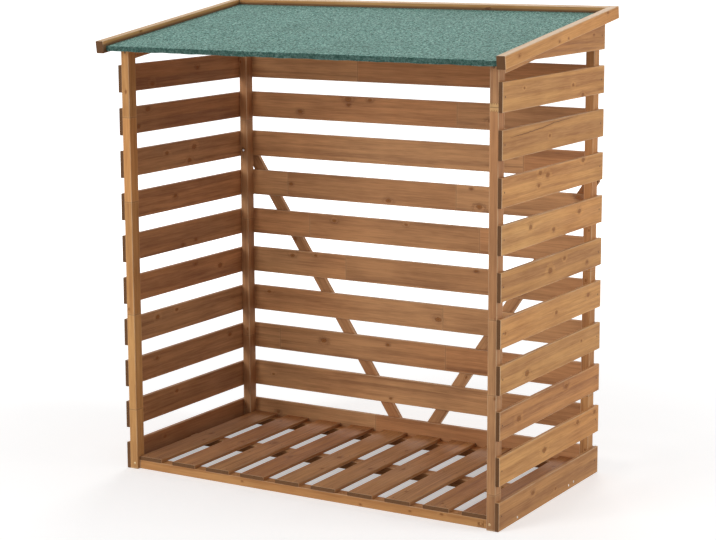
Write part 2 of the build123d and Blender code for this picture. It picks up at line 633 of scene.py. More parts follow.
    @staticmethod
    def _split(s: Sheet, face: Face, colour: Socket, shake: Shake) -> Socket:
        """Draws a split that closes at both ends.

        Args:
            s: the tree that is filled.
            face: the places on the face.
            colour: the colour so far.
            shake: the split.

        Returns:
            The colour.
        """
        waver = s.noise(s.vector(s.times(face.along, 34.0), 0.0, 0.0), 1.0, 3.0)
        spot = s.vector(face.along, s.plus(face.across, s.times(s.minus(waver, 0.5), 0.006)), 0.0)
        near: Value = FAR_OFF
        for first, last in zip(shake.places, shake.places[1:]):
            start, step = Vector((*first, 0.0)), Vector((*last, 0.0)) - Vector((*first, 0.0))
            off = s.put("VectorMath", operation="SUBTRACT")
            s.feed(off.inputs[0], spot)
            off.inputs[1].default_value = start
            share = s.dot(off.outputs[0], tuple(step / step.length_squared))
            foot = s.put("VectorMath", operation="SCALE")
            foot.inputs[0].default_value = step
            s.feed(foot.inputs["Scale"], s.times(share, 1.0, clamp=True))
            gap = s.put("VectorMath", operation="DISTANCE")
            s.feed(gap.inputs[0], off.outputs[0])
            s.feed(gap.inputs[1], foot.outputs[0])
            near = s.math("MINIMUM", near, gap.outputs["Value"])
        begin, end = shake.places[0][0], shake.places[-1][0]
        near = s.plus(near, s.times(s.rise(face.along, end - 0.09, end + 0.02), 0.0016))
        near = s.plus(near, s.times(s.fall(face.along, begin - 0.02, begin + 0.07), 0.0010))
        colour = s.lay(colour, s.fall(near, 0.0008, 0.0090), 0.42, Mark.SPLIT_BLUSH)
        return s.lay(colour, s.fall(near, 0.0003, 0.0019), 0.86, Mark.SPLIT_LINE)

    def _jointed(self, s: Sheet, face: Face, colour: Socket) -> Socket:
        """Draws the finger joints, and the bands where their fingers show pale.

        Args:
            s: the tree that is filled.
            face: the places on the face.
            colour: the colour so far.

        Returns:
            The colour.
        """
        for joint in self.joints:
            beside = s.size(s.minus(face.run, joint))
            colour = s.lay(colour, s.fall(beside, 0.0035, 0.0060), 0.14, Mark.JOINT_PALE)
            colour = s.lay(colour, s.fall(beside, 0.0007, 0.0016), 0.42, Mark.JOINT_LINE)
        for band in self.bands:
            beside = s.size(s.minus(face.run, band))
            fingers = s.math("PINGPONG", s.plus(face.level, face.half), 0.0038)
            off = s.minus(beside, s.plus(s.times(fingers, 1.6), 0.0085))
            colour = s.lay(colour, s.fall(off, -0.0008, 0.0008), 0.46, Mark.FINGER_PALE)
            line = s.math("MAXIMUM", s.fall(s.size(off), 0.0006, 0.0018), s.fall(beside, 0.0010, 0.0024))
            colour = s.lay(colour, line, 0.50, Mark.FINGER_LINE)
        return colour

    def _paint_light_and_shade(self, s: Sheet, face: Face, colour: Socket, facing: Socket) -> Socket:
        """Paints a highlight along the edges, the ends and the tops, and paints shade into the crease by the
        felt.

        Args:
            s: the tree that is filled.
            face: the places on the face.
            colour: the colour so far.
            facing: the way that the surface looks.

        Returns:
            The colour.
        """
        deep = s.size(s.minus(face.through, (self.low[2] + self.high[2]) / 2))
        thick = (self.high[2] - self.low[2]) / 2
        # Painted highlight along the long edges and at the cut ends, broken up by the fibre
        edge = s.rise(s.size(face.level), face.half - 0.0032, face.half - 0.0008)
        edge = s.times(edge, s.rise(deep, thick - 0.0036, thick - 0.0012))
        edge = s.times(edge, s.rise(face.patterns[Pattern.FIBRE], 0.3, 0.62))
        off = s.size(s.minus(face.along, (self.low[0] + self.high[0]) / 2))
        reach = (self.high[0] - self.low[0]) / 2
        edge = s.math("MAXIMUM", edge, s.rise(off, reach - 0.0065, reach - 0.002))
        colour = s.lay(colour, edge, 0.46, Mark.EDGE_HIGHLIGHT)
        # Painted highlight on the faces that look the given way, broken up by the streaks
        if self.highlight_way:
            top_highlight = s.rise(s.dot(facing, self.highlight_way), 0.55, 0.85)
            top_highlight = s.times(top_highlight, s.rise(face.patterns[Pattern.STREAK], 0.18, 0.52))
            colour = s.lay(colour, top_highlight, 0.84, Mark.TOP_HIGHLIGHT)
        # Painted shade in the crease where the board meets the felt
        if self.inward:
            felt_shade = s.fall(s.minus(face.across, self.low[1] + 0.022), 0.003, 0.013)
            felt_shade = s.times(felt_shade, s.rise(s.dot(facing, self.inward), 0.5, 0.8))
            colour = s.lay(colour, felt_shade, 0.80, Mark.CREASE_SHADE)
        return colour

    @staticmethod
    def _nearest(s: Sheet, spots: tuple[Knot, ...], along: Socket, across: Socket, draw: float) -> Value:
        """Distance to the nearest of some spots, with ragged rims.

        Args:
            s: the tree that is filled.
            spots: the knots or nails.
            along: place along the grain.
            across: place across the face.
            draw: a spot's width over its length along the grain.

        Returns:
            The distance in radii of the nearest spot.
        """
        near: Value = FAR_OFF
        flat = s.vector(s.times(along, draw), across, 0.0)
        for spot in spots:
            gap = s.put("VectorMath", operation="DISTANCE")
            s.feed(gap.inputs[0], flat)
            gap.inputs[1].default_value = (spot.along * draw, spot.across, 0.0)
            near = s.math("MINIMUM", near, s.math("DIVIDE", gap.outputs["Value"], spot.radius))
        rag = s.noise(flat, 210.0, 2.0, 0.6)
        return s.times(near, s.plus(s.times(rag, 1.1), 0.45))


@dataclass(frozen=True)
class MineralFelt:
    """Green mineral felt: slate granules pressed into bitumen, thinner on the folded edge.

    Attributes:
        name: the material's name.
        granules: colours of the dark and the pale granules.
        sparkle: colour of the few bright granules.
        bitumen: colour between the granules.
        shade: what drifts of dark granules lean to.
        light: what drifts of pale granules lean to.
        trodden: colour of the broad dull patches.
        fold: colour of the folded edge.
    """

    name: str = "green_mineral_felt"
    granules: tuple[Triple, Triple] = ((0.066, 0.214, 0.170), (0.215, 0.485, 0.405))
    sparkle: Triple = (0.640, 0.820, 0.740)
    bitumen: Triple = (0.012, 0.040, 0.032)
    shade: Triple = (0.018, 0.088, 0.068)
    light: Triple = (0.50, 0.84, 0.74)
    trodden: Triple = (0.115, 0.205, 0.165)
    fold: Triple = (0.012, 0.038, 0.030)

    def make(self) -> bpy.types.Material:
        """Builds the node tree.

        Returns:
            The material.
        """
        s = Sheet(bpy.data.materials.new(self.name))
        place = s.put("TexCoord").outputs["Object"]
        grit = s.put("TexVoronoi")
        s.feed(grit.inputs["Vector"], place)
        grit.inputs["Scale"].default_value = 330.0
        pick = s.put("SeparateColor")
        s.feed(pick.inputs[0], grit.outputs["Color"])
        fine = s.mix(s.rise(pick.outputs[0], 0.30, 0.70), *self.granules)
        fine = s.mix(s.rise(pick.outputs[1], 0.74, 0.82), fine, self.sparkle)
        fine = s.mix(s.rise(pick.outputs[2], 0.78, 0.86), fine, self.bitumen)
        drift = s.noise(place, 125.0, 3.0, 0.85)
        light, shade = s.mix(0.56, fine, self.light), s.mix(0.70, fine, self.shade)
        fine = s.mix(s.rise(drift, 0.42, 0.60), shade, light)
        cloud = s.noise(place, 5.0, 3.0)
        fine = s.mix(s.times(s.rise(cloud, 0.35, 0.75), 0.25), fine, self.trodden)
        facing = s.put("NewGeometry").outputs["Normal"]
        fold = s.rise(s.times(s.dot(facing, (0.0, 1.0, 0.0)), -1.0), 0.45, 0.95)
        colour = s.mix(s.times(fold, 0.80), fine, self.fold)
        relief = s.plus(s.times(grit.outputs["Distance"], -0.8), s.times(drift, 0.6))
        normal = s.bump(relief, 0.6, 0.0007)
        return s.surface(Base_Color=colour, Roughness=0.86, Specular_IOR_Level=0.20, Normal=normal)


@dataclass(frozen=True)
class FixingSteel:
    """Steel of the nails and screws, bright zinc or dark with age.

    Attributes:
        name: the material's name.
        clean: colour of the bare coat.
        dull: colour where it has spotted.
        rough: roughness of the clean coat.
    """

    name: str
    clean: Triple
    dull: Triple
    rough: float

    def make(self) -> bpy.types.Material:
        """Builds the node tree.

        Returns:
            The material.
        """
        s = Sheet(bpy.data.materials.new(self.name))
        place = s.put("TexCoord").outputs["Object"]
        spots = s.rise(s.noise(place, 900.0, 3.0, 0.65), 0.42, 0.68)
        colour = s.mix(spots, self.clean, self.dull)
        rough = s.plus(s.times(spots, 0.25), self.rough, clamp=True)
        normal = s.bump(s.noise(place, 2400.0, 2.0), 0.2, 0.0002)
        return s.surface(Base_Color=colour, Metallic=1.0, Roughness=rough, Normal=normal)


ZINC = FixingSteel("bright_zinc", (0.80, 0.80, 0.78), (0.50, 0.50, 0.49), 0.28)
YELLOW_ZINC = FixingSteel("yellow_zinc", (0.62, 0.47, 0.27), (0.36, 0.24, 0.12), 0.42)
AGED = FixingSteel("aged_steel", (0.085, 0.060, 0.045), (0.040, 0.028, 0.020), 0.52)


def span(node: str, lie: Lie) -> tuple[Triple, Triple]:
    """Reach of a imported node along, across and through its grain.

    Args:
        node: the node's name.
        lie: which way its grain runs.

    Returns:
        The lowest and the highest places.
    """
    points = [vertex.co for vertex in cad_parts[node].data.vertices]
    reaches = [[point.dot(Vector(way)) for point in points] for way in lie.value]
    return tuple(min(row) for row in reaches), tuple(max(row) for row in reaches)


def dress(node: str, material: bpy.types.Material) -> None:
    """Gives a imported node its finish.

    Args:
        node: the node's name.
        material: the finish.
    """
    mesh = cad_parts[node].data
    mesh.materials.clear()
    mesh.materials.append(material)
    log.info("%s dressed", node)


def strewn_knots(seed: int, low: Triple, high: Triple, count: int, pitch: float = 0.0) -> tuple[Knot, ...]:
    """Scatters knots over a piece, or over each board of a row.

    Args:
        seed: picks the places.
        low: lowest place along and across.
        high: highest place along and across.
        count: knots on a board.
        pitch: spacing of the boards across, or 0 for one board.

    Returns:
        The knots.
    """
    dice = random.Random(seed)
    boards = round((high[1] - low[1] - BOARD_HEIGHT) / pitch) + 1 if pitch else 1
    width = BOARD_HEIGHT if pitch else high[1] - low[1]
    knots = []
    for board in range(boards):
        for _ in range(count):
            along = dice.uniform(low[0] + 0.03, high[0] - 0.03)
            across = low[1] + board * pitch + width * dice.uniform(0.12, 0.88)
            knots.append(Knot(along, across, dice.uniform(0.0035, 0.0075) * min(1.0, width / 0.06)))
    return tuple(knots)


def add_head(shape: bmesh.types.BMesh, centre: Vector, outward: Vector, head: Head, turn: float) -> None:
    """Adds the head of a nail or screw to a mesh.

    Args:
        shape: the mesh that grows.
        centre: middle of the head on the face that it is driven into.
        outward: the way it faces.
        head: the kind of head.
        turn: turn of the cross about the screw, in radians.
    """
    radius, dome, cross = head.value
    rings, steps = (9, 40) if cross else (3, 14)
    spin = outward.to_track_quat("Z", "Y").to_matrix()
    arm, reach = radius * 0.16, radius * 0.62

    def height(x: float, y: float, share: float) -> float:
        """Height of the head over the face at a place on it.

        Args:
            x: the place across the head.
            y: the place up the head.
            share: its share of the radius.

        Returns:
            The height.
        """
        rise = dome * (1.0 - share**2) + 0.0002
        u = abs(x * math.cos(turn) + y * math.sin(turn))
        v = abs(y * math.cos(turn) - x * math.sin(turn))
        inside = (u < arm and v < reach) or (v < arm and u < reach)
        return rise - cross * (1.0 if inside else 0.0)

    middle = shape.verts.new(centre + spin @ Vector((0, 0, height(0, 0, 0))))
    previous: list[bmesh.types.BMVert] = []
    for ring in range(1, rings + 2):
        share = min(ring / rings, 1.0)
        row = []
        for step in range(steps):
            angle = math.tau * step / steps
            x, y = radius * share * math.cos(angle), radius * share * math.sin(angle)
            z = -0.0004 if ring > rings else height(x, y, share)
            row.append(shape.verts.new(centre + spin @ Vector((x, y, z))))
        for step in range(steps):
            after = (step + 1) % steps
            if previous:
                shape.faces.new((previous[step], row[step], row[after], previous[after]))
            else:
                shape.faces.new((middle, row[step], row[after]))
        previous = row


def finish_piece(
    name: str,
    shape: bmesh.types.BMesh,
    material: bpy.types.Material,
    smooth: bool = True,
) -> bpy.types.Object:
    """Turns a mesh in the making into a piece of the store.

    Args:
        name: the piece's name.
        shape: its mesh, freed here.
        material: its finish.
        smooth: whether its faces shade smoothly.

    Returns:
        The piece, riding on the store.
    """
    mesh = bpy.data.meshes.new(name)
    shape.normal_update()
    shape.to_mesh(mesh)
    shape.free()
    for face in mesh.polygons:
        face.use_smooth = smooth
    mesh.materials.append(material)
    piece = bpy.data.objects.new(name, mesh)
    bpy.context.scene.collection.objects.link(piece)
    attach(piece, "root")
    log.info("%s: %d faces", name, len(mesh.polygons))
    return piece


@dataclass
class Fixings:
    """One row of like heads, kept as a single piece.

    Attributes:
        name: the piece's name.
        head: the kind of head.
        steel: its finish.
        outward: the way that the heads face.
        places: middle of each head on the face that it is driven into.
        slot: the timber that it holds; not used.
    """

    name: str
    head: Head
    steel: FixingSteel
    outward: Triple
    places: list[Triple] = field(default_factory=list)
    slot: str = "wall_board_timber"

    def build(self) -> bpy.types.Object:
        """Builds every head of the row.

        Returns:
            The joined piece.
        """
        shape = bmesh.new()
        for number, place in enumerate(self.places):
            add_head(shape, Vector(place), Vector(self.outward), self.head, 0.4 + 0.7 * number)
        return finish_piece(self.name, shape, self.steel.make())


@dataclass
class Posts:
    """The four corner posts, their finger joints and the screws in their faces.

    Attributes:
        front: place of the front posts' front faces.
        back_front: place of the back posts' front faces.
        joints: heights of each post's finger joints.
        bands: heights of the joints whose fingers show pale.
        bruises: where a screw has darkened the wood, by height and place across.
    """

    front: float = -0.34814
    back_front: float = 0.33886
    joints: dict[str, tuple[float, ...]] = field(
        default_factory=lambda: {
            "front_right_post": (0.113, 0.422, 0.652, 1.287),
            "front_left_post": (0.205, 0.530, 0.910, 1.190),
            "back_left_post": (0.330, 0.760, 1.120),
            "back_right_post": (0.270, 0.690, 1.050, 1.330),
        }
    )
    bands: dict[str, tuple[float, ...]] = field(default_factory=lambda: {"front_right_post": (1.287,)})
    bruises: dict[str, tuple[Knot, ...]] = field(
        default_factory=lambda: {
            "back_left_post": (Knot(1.013, -0.675, 0.0055),),
            "back_right_post": (Knot(1.013, 0.675, 0.0055),),
        }
    )

    def build(self) -> None:
        """Dresses the posts and drives their screws."""
        tones = (Tone.RUSSET, Tone.HONEY, Tone.RUSSET, Tone.AMBER)
        for number, (node, joints) in enumerate(self.joints.items()):
            low, high = span(node, Lie.POST)
            knots = strewn_knots(40 + number, low, high, 2 if node.startswith("front") else 5)
            timber = StainedTimber(
                f"timber_{node}", Lie.POST, low, high, tones[number], 3.1 * number + 0.7, knots,
                joints=joints, bands=self.bands.get(node, ()), nails=self.bruises.get(node, ()),
            )
            dress(node, timber.make())
        for name, head, steel, sides, face, rise in (
            ("front_post_screws", Head.PAN_SCREW, YELLOW_ZINC, (0.669, -0.669), self.front, 0.019),
            ("post_head_screws", Head.SUNK_SCREW, AGED, (0.671, -0.671), self.front, 1.404),
            ("back_post_screws", Head.PAN_SCREW, ZINC, (-0.675, 0.675), self.back_front, 1.011),
        ):
            places = [(across, face, rise) for across in sides]
            Fixings(name, head, steel, (0, -1, 0), places, "post_timber").build()


@dataclass
class SideWall:
    """One slatted side: ten level boards and the ripped gable board.

    Attributes:
        hand: left or right.
        side: -1 for the left wall and 1 for the right one.
        knots: known knots of the boards, which count from the ground.
        shakes: splits of the boards.
        boards: level boards under the gable board.
        face: distance of the outer faces from the middle of the store.
        nail_rows: places of the two nails along a board.
        nail_height: height of the nails over a board's lower edge.
        nail_stain: radius of the dark spot round a nail.
        gable_nails: places and heights of the nails in the gable board.
        rail_screws: places and heights of the screws into the floor rails.
        amber_boards: boards of the right wall with the deeper stain.
    """

    hand: str
    side: int
    knots: dict[int, tuple[Knot, ...]]
    shakes: dict[int, Shake] = field(default_factory=dict)
    boards: int = 10
    face: float = 0.700
    nail_rows: tuple[float, float] = (-0.329, 0.370)
    nail_height: float = 0.0455
    nail_stain: float = 0.0021
    gable_nails: tuple[tuple[float, float], ...] = ((-0.120, 1.4235), (0.370, 1.4575))
    rail_screws: tuple[tuple[float, float], ...] = ((-0.218, 0.012), (0.162, 0.014), (0.200, 0.017))
    amber_boards: tuple[int, ...] = (1, 3, 11)

    def build(self) -> None:
        """Dresses the boards and drives a nail near each end of each."""
        for number in range(1, self.boards + 1):
            self._dress_board(f"{self.hand}_side_board_{number:02d}", number)
        self._dress_board(f"{self.hand}_gable_board", self.boards + 1)
        face = self.side * self.face
        nails = [
            (face, row, number * BOARD_PITCH + self.nail_height)
            for number in range(self.boards)
            for row in self.nail_rows
        ]
        nails += [(face, row, rise) for row, rise in self.gable_nails]
        Fixings(f"{self.hand}_wall_nails", Head.OVAL_NAIL, AGED, (self.side, 0, 0), nails).build()
        screws = [(face, row, rise) for row, rise in self.rail_screws]
        Fixings(f"{self.hand}_rail_screws", Head.SUNK_SCREW, ZINC, (self.side, 0, 0), screws).build()

    def _dress_board(self, node: str, number: int) -> None:
        """Gives a board its own cut of timber.

        Args:
            node: the board's node.
            number: its place in the wall, counted from the ground.
        """
        low, high = span(node, Lie.SIDE_BOARD)
        knots = self.knots.get(number)
        if knots is None:
            knots = strewn_knots(100 * self.side + number, low, high, 2)
        tone = Tone.AMBER if number in self.amber_boards else Tone.HONEY
        if self.side < 0:
            tone = Tone.RUSSET
        nails = tuple(Knot(row, low[1] + self.nail_height, self.nail_stain) for row in self.nail_rows)
        timber = StainedTimber(
            f"timber_{node}", Lie.SIDE_BOARD, low, high, tone, 11.3 * number + 2.9 * self.side, knots,
            nails=nails, shake=self.shakes.get(number),
        )
        dress(node, timber.make())


@dataclass
class BackWall:
    """The boarded back with its two braces.

    Attributes:
        face: place of the boards' outer faces.
        brace_face: place of the braces' outer faces.
        post_middle: distance of the posts' middles from the middle of the store.
        rows: boards in the wall.
        nail_shift: how far a nail stands from the middle of the post and of the board.
        joints: places of the finger joints, counted from each board's start.
        joint_starts: where each board's joints are counted from, from the lowest up.
        known_from: the row from which the knots are known.
        known_up_to: the place along the boards up to which they are known.
        brace_screws: distances from the middle and heights of the screws in a brace.
    """

    face: float = 0.39086
    brace_face: float = 0.40286
    post_middle: float = 0.673
    rows: int = 11
    nail_shift: float = 0.007
    joints: tuple[float, float] = (0.0, 0.68)
    joint_starts: tuple[float, ...] = (
        -0.15, 0.31, -0.55, 0.12, -0.27, -0.42, -0.511, 0.42, 0.171, -0.90, 0.05,
    )
    known_from: int = 4
    known_up_to: float = 0.3
    brace_screws: tuple[tuple[float, float], ...] = (
        (0.030, 0.030), (0.046, 0.052), (0.352, 0.505), (0.652, 0.965), (0.676, 1.000),
    )

    def build(self) -> None:
        """Dresses boards and braces, and drives their nails and screws."""
        low, high = span("back_boards", Lie.BACK_BOARD)
        known = tuple(knot for knots in BACK_WALL_KNOTS.values() for knot in knots)
        others = strewn_knots(7, low, high, 2, BOARD_PITCH)
        knots = known + tuple(knot for knot in others if self._is_clear(knot))
        timber = StainedTimber(
            "timber_back_boards", Lie.BACK_BOARD, low, high, Tone.CHESTNUT, 4.6, knots, BOARD_PITCH,
            joints=self.joints, starts=self.joint_starts,
        )
        dress("back_boards", timber.make())
        for node, lie, seed, own in (
            ("back_left_brace", Lie.LEFT_BRACE, 8.2, ()),
            ("back_right_brace", Lie.RIGHT_BRACE, 9.9, RIGHT_BRACE_KNOTS),
        ):
            low, high = span(node, lie)
            knots = strewn_knots(int(seed * 10), low, high, 3) + own
            dress(node, StainedTimber(f"timber_{node}", lie, low, high, Tone.RUSSET, seed, knots).make())
        across = self.post_middle + self.nail_shift
        nails = [
            (side * across, self.face, row * BOARD_PITCH + BOARD_MIDDLE + self.nail_shift)
            for row in range(self.rows)
            for side in (-1, 1)
        ]
        Fixings("back_wall_nails", Head.OVAL_NAIL, AGED, (0, 1, 0), nails).build()
        screws = [(side * x, self.brace_face, z) for side in (-1, 1) for x, z in self.brace_screws]
        Fixings("brace_screws", Head.SUNK_SCREW, ZINC, (0, 1, 0), screws, "brace_timber").build()

    def _is_clear(self, knot: Knot) -> bool:
        """Tells whether a knot lies clear of the boards whose own knots are known."""
        return knot.across < self.known_from * BOARD_PITCH or knot.along > self.known_up_to


@dataclass
class Floor:
    """Three rails on the ground under ten slats.

    Attributes:
        slats: number of slats.
        top: height of their upper faces.
        rail_middles: places of the rails' middles.
        nail_spread: distance of the two nails from a slat's middle.
        rail_front: place of the front rail's front face.
        plug_along: place of the plug along the front rail.
        plug_rise: height of its middle.
        plug_half: half its width.
        plug_proud: how far it stands out of the rail.
        plug_hole: half the width of the hole in it.
    """

    slats: int = 10
    top: float = 0.042
    rail_middles: tuple[float, float, float] = (-0.316, 0.021, 0.359)
    nail_spread: float = 0.024
    rail_front: float = -0.33614
    plug_along: float = 0.633
    plug_rise: float = 0.0135
    plug_half: float = 0.0105
    plug_proud: float = 0.0012
    plug_hole: float = 0.0042

    def build(self) -> None:
        """Dresses the rails and slats and nails the slats down."""
        for number, node in enumerate(("front_floor_rail", "middle_floor_rail", "back_floor_rail")):
            low, high = span(node, Lie.RAIL)
            knots = strewn_knots(60 + number, low, high, 4)
            tone = Tone.AMBER if number else Tone.HONEY
            timber = StainedTimber(f"timber_{node}", Lie.RAIL, low, high, tone, 5.3 * number + 1.9, knots)
            dress(node, timber.make())
        low, high = span("floor_slats", Lie.SLAT)
        pitch = (high[1] - low[1] - BOARD_HEIGHT) / (self.slats - 1)
        knots = strewn_knots(81, low, high, 2, pitch)
        timber = StainedTimber("timber_floor_slats", Lie.SLAT, low, high, Tone.AMBER, 6.4, knots, pitch)
        dress("floor_slats", timber.make())
        nails = [
            (low[1] + BOARD_MIDDLE + number * pitch + shift, middle, self.top)
            for number in range(self.slats)
            for middle in self.rail_middles
            for shift in (-self.nail_spread, self.nail_spread)
        ]
        Fixings("slat_nails", Head.OVAL_NAIL, AGED, (0, 0, 1), nails, "floor_timber").build()
        self._build_plug()

    def _build_plug(self) -> bpy.types.Object:
        """Builds the square end of a dowel block let into the rail's right end, with its hole.

        Returns:
            The plug.
        """
        shape = bmesh.new()
        middle = Vector((self.plug_along, self.rail_front, self.plug_rise))
        loops = []
        for size, depth in (
            (self.plug_half, 0.0),
            (self.plug_half, self.plug_proud - 0.0004),
            (self.plug_half - 0.0006, self.plug_proud),
            (self.plug_hole, self.plug_proud),
            (self.plug_hole - 0.00056, self.plug_proud - 0.0015),
        ):
            corners = ((-size, -size), (size, -size), (size, size), (-size, size))
            loops.append([shape.verts.new(middle + Vector((x, -depth, z))) for x, z in corners])
        for outer, inner in zip(loops, loops[1:]):
            for corner in range(4):
                after = (corner + 1) % 4
                shape.faces.new((outer[corner], outer[after], inner[after], inner[corner]))
        shape.faces.new(loops[-1])
        timber = StainedTimber(
            "timber_rail_plug", Lie.RAIL, (0.60, 0.0, -0.4), (0.66, 0.03, -0.3), Tone.HONEY, 2.2,
            (Knot(self.plug_along, self.plug_rise, 0.0045),),
        )
        return finish_piece("rail_plug", shape, timber.make(), False)


@dataclass
class LeanToRoof:
    """Rafters, boarded deck, barge boards and the felt laid between them.

    Attributes:
        origin: middle of the front top edge of the barge boards.
        half_width: half the width of the deck and felt.
        start: distance up the slope to the felt's front.
        end: distance up the slope to the back barge board.
        deck_boards: number of boards in the deck.
        felt_top: height of the felt's top off the barge boards' top.
        thickness: thickness of the felt.
        drop: length of the felt folded down in front.
        fold_radius: outer radius of the fold.
        drop_step: spacing of the mesh down the fold.
        fold_steps: faces round the fold.
        slope_steps: faces up the slope.
        columns: faces from side to side.
        wave_height: half the height of the felt's waves.
        calm_edge: distance from the edges in which the waves die out.
    """

    origin: Triple = (0.0, -0.41415, 1.44249)
    half_width: float = 0.711
    start: float = 0.016
    end: float = 0.80027
    deck_boards: int = 8
    felt_top: float = -0.018
    thickness: float = 0.003
    drop: float = 0.018
    fold_radius: float = 0.0035
    drop_step: float = 0.0035
    fold_steps: int = 8
    slope_steps: int = 60
    columns: int = 96
    wave_height: float = 0.00045
    calm_edge: float = 0.03

    def build(self) -> None:
        """Dresses the timber of the roof and lays the felt."""
        down_slope = (0.0, -UP_SLOPE[1], -UP_SLOPE[2])
        # The barge boards get a painted highlight on their tops and painted shade in the crease by the felt
        pieces = (
            ("left_rafter", Lie.BARGE, Tone.AMBER, 3, None, None),
            ("right_rafter", Lie.BARGE, Tone.AMBER, 3, None, None),
            ("left_barge_board", Lie.BARGE, Tone.HONEY, 4, OFF_ROOF, (1.0, 0.0, 0.0)),
            ("right_barge_board", Lie.BARGE, Tone.HONEY, 4, OFF_ROOF, (-1.0, 0.0, 0.0)),
            ("back_barge_board", Lie.BACK_BARGE, Tone.HONEY, 4, OFF_ROOF, down_slope),
        )
        for number, (node, lie, tone, count, highlight_way, inward) in enumerate(pieces):
            low, high = span(node, lie)
            knots = strewn_knots(20 + number, low, high, count)
            timber = StainedTimber(
                f"timber_{node}", lie, low, high, tone, 4.4 * number + 12.5, knots,
                highlight_way=highlight_way, inward=inward,
            )
            dress(node, timber.make())
        low, high = span("roof_deck", Lie.DECK)
        pitch = (high[1] - low[1]) / self.deck_boards
        knots = strewn_knots(31, low, high, 2, pitch)
        timber = StainedTimber("timber_roof_deck", Lie.DECK, low, high, Tone.AMBER, 17.0, knots, pitch)
        dress("roof_deck", timber.make())
        self._lay_felt()

    def at(self, x: float, up: float, off: float) -> Vector:
        """A place from its distance up the slope and its height off the barge boards' top."""
        return Vector(self.origin) + Vector((x, 0, 0)) + Vector(UP_SLOPE) * up + Vector(OFF_ROOF) * off

    def _profile(self) -> list[tuple[float, float, float, float]]:
        """Middle line of the felt seen from the side.

        Returns:
            Rows of distance up the slope, height off it, and the two parts of the outward way.
        """
        half = self.thickness / 2
        bend = self.fold_radius - half
        face, top = self.start + half, self.felt_top - half
        rows = [(face, self.felt_top - self.drop + step * self.drop_step, -1.0, 0.0) for step in range(4)]
        for step in range(self.fold_steps + 1):
            angle = math.pi / 2 * step / self.fold_steps
            up = face + bend - bend * math.cos(angle)
            off = top - bend + bend * math.sin(angle)
            rows.append((up, off, -math.cos(angle), math.sin(angle)))
        first = face + bend
        for step in range(1, self.slope_steps + 1):
            rows.append((first + (self.end - first) * step / self.slope_steps, top, 0.0, 1.0))
        return rows

    def _skin(
        self, shape: bmesh.types.BMesh, rows: list[tuple[float, float, float, float]], face: float
    ) -> list[list[bmesh.types.BMVert]]:
        """Adds the points of one skin of the felt, with its slight waves and its ragged front edge.

        Args:
            shape: the mesh that grows.
            rows: the felt's middle line.
            face: 1 for the upper skin and -1 for the lower one.

        Returns:
            The points, row by row up the slope.
        """
        skin = []
        gap = face * (self.thickness / 2 - 0.0002)
        for number, (up, off, way_up, way_off) in enumerate(rows):
            line = []
            for column in range(self.columns + 1):
                x = -self.half_width + 2 * self.half_width * column / self.columns
                inland = min(self.half_width - abs(x), self.end - up) / self.calm_edge
                wave = 0.5 * math.sin(5.1 * x + 7.0 * up) + 0.5 * math.sin(13.0 * x - 9.0 * up + 1.0)
                lift = self.wave_height * (1.0 + wave) * max(min(1.0, inland), 0.0) * way_off**2
                ragged = 0.0006 * math.sin(37.0 * x) + 0.0005 * math.sin(91.0 * x + 2.0) + 0.0011
                low = 0.0 if number else ragged
                line.append(shape.verts.new(self.at(x, up + gap * way_up, off + low + gap * way_off + lift)))
            skin.append(line)
        return skin

    def _lay_felt(self) -> bpy.types.Object:
        """Builds the felt as one folded sheet.

        Returns:
            The sheet.
        """
        shape = bmesh.new()
        rows = self._profile()
        upper, lower = self._skin(shape, rows, 1.0), self._skin(shape, rows, -1.0)
        last = len(rows) - 1
        for row in range(last):
            for column in range(self.columns):
                a, b = (row, column), (row, column + 1)
                c, d = (row + 1, column + 1), (row + 1, column)
                shape.faces.new([upper[r][q] for r, q in (a, b, c, d)])
                shape.faces.new([lower[r][q] for r, q in (d, c, b, a)])
        ends = [((row, column), (row, column + 1)) for column in range(self.columns) for row in (0, last)]
        ends += [((row, column), (row + 1, column)) for row in range(last) for column in (0, self.columns)]
        for (r, q), (next_r, next_q) in ends:
            shape.faces.new((upper[r][q], upper[next_r][next_q], lower[next_r][next_q], lower[r][q]))
        bmesh.ops.recalc_face_normals(shape, faces=shape.faces)
        felt = finish_piece("felt_sheet", shape, MineralFelt().make())
        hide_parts("roof_felt")
        return felt


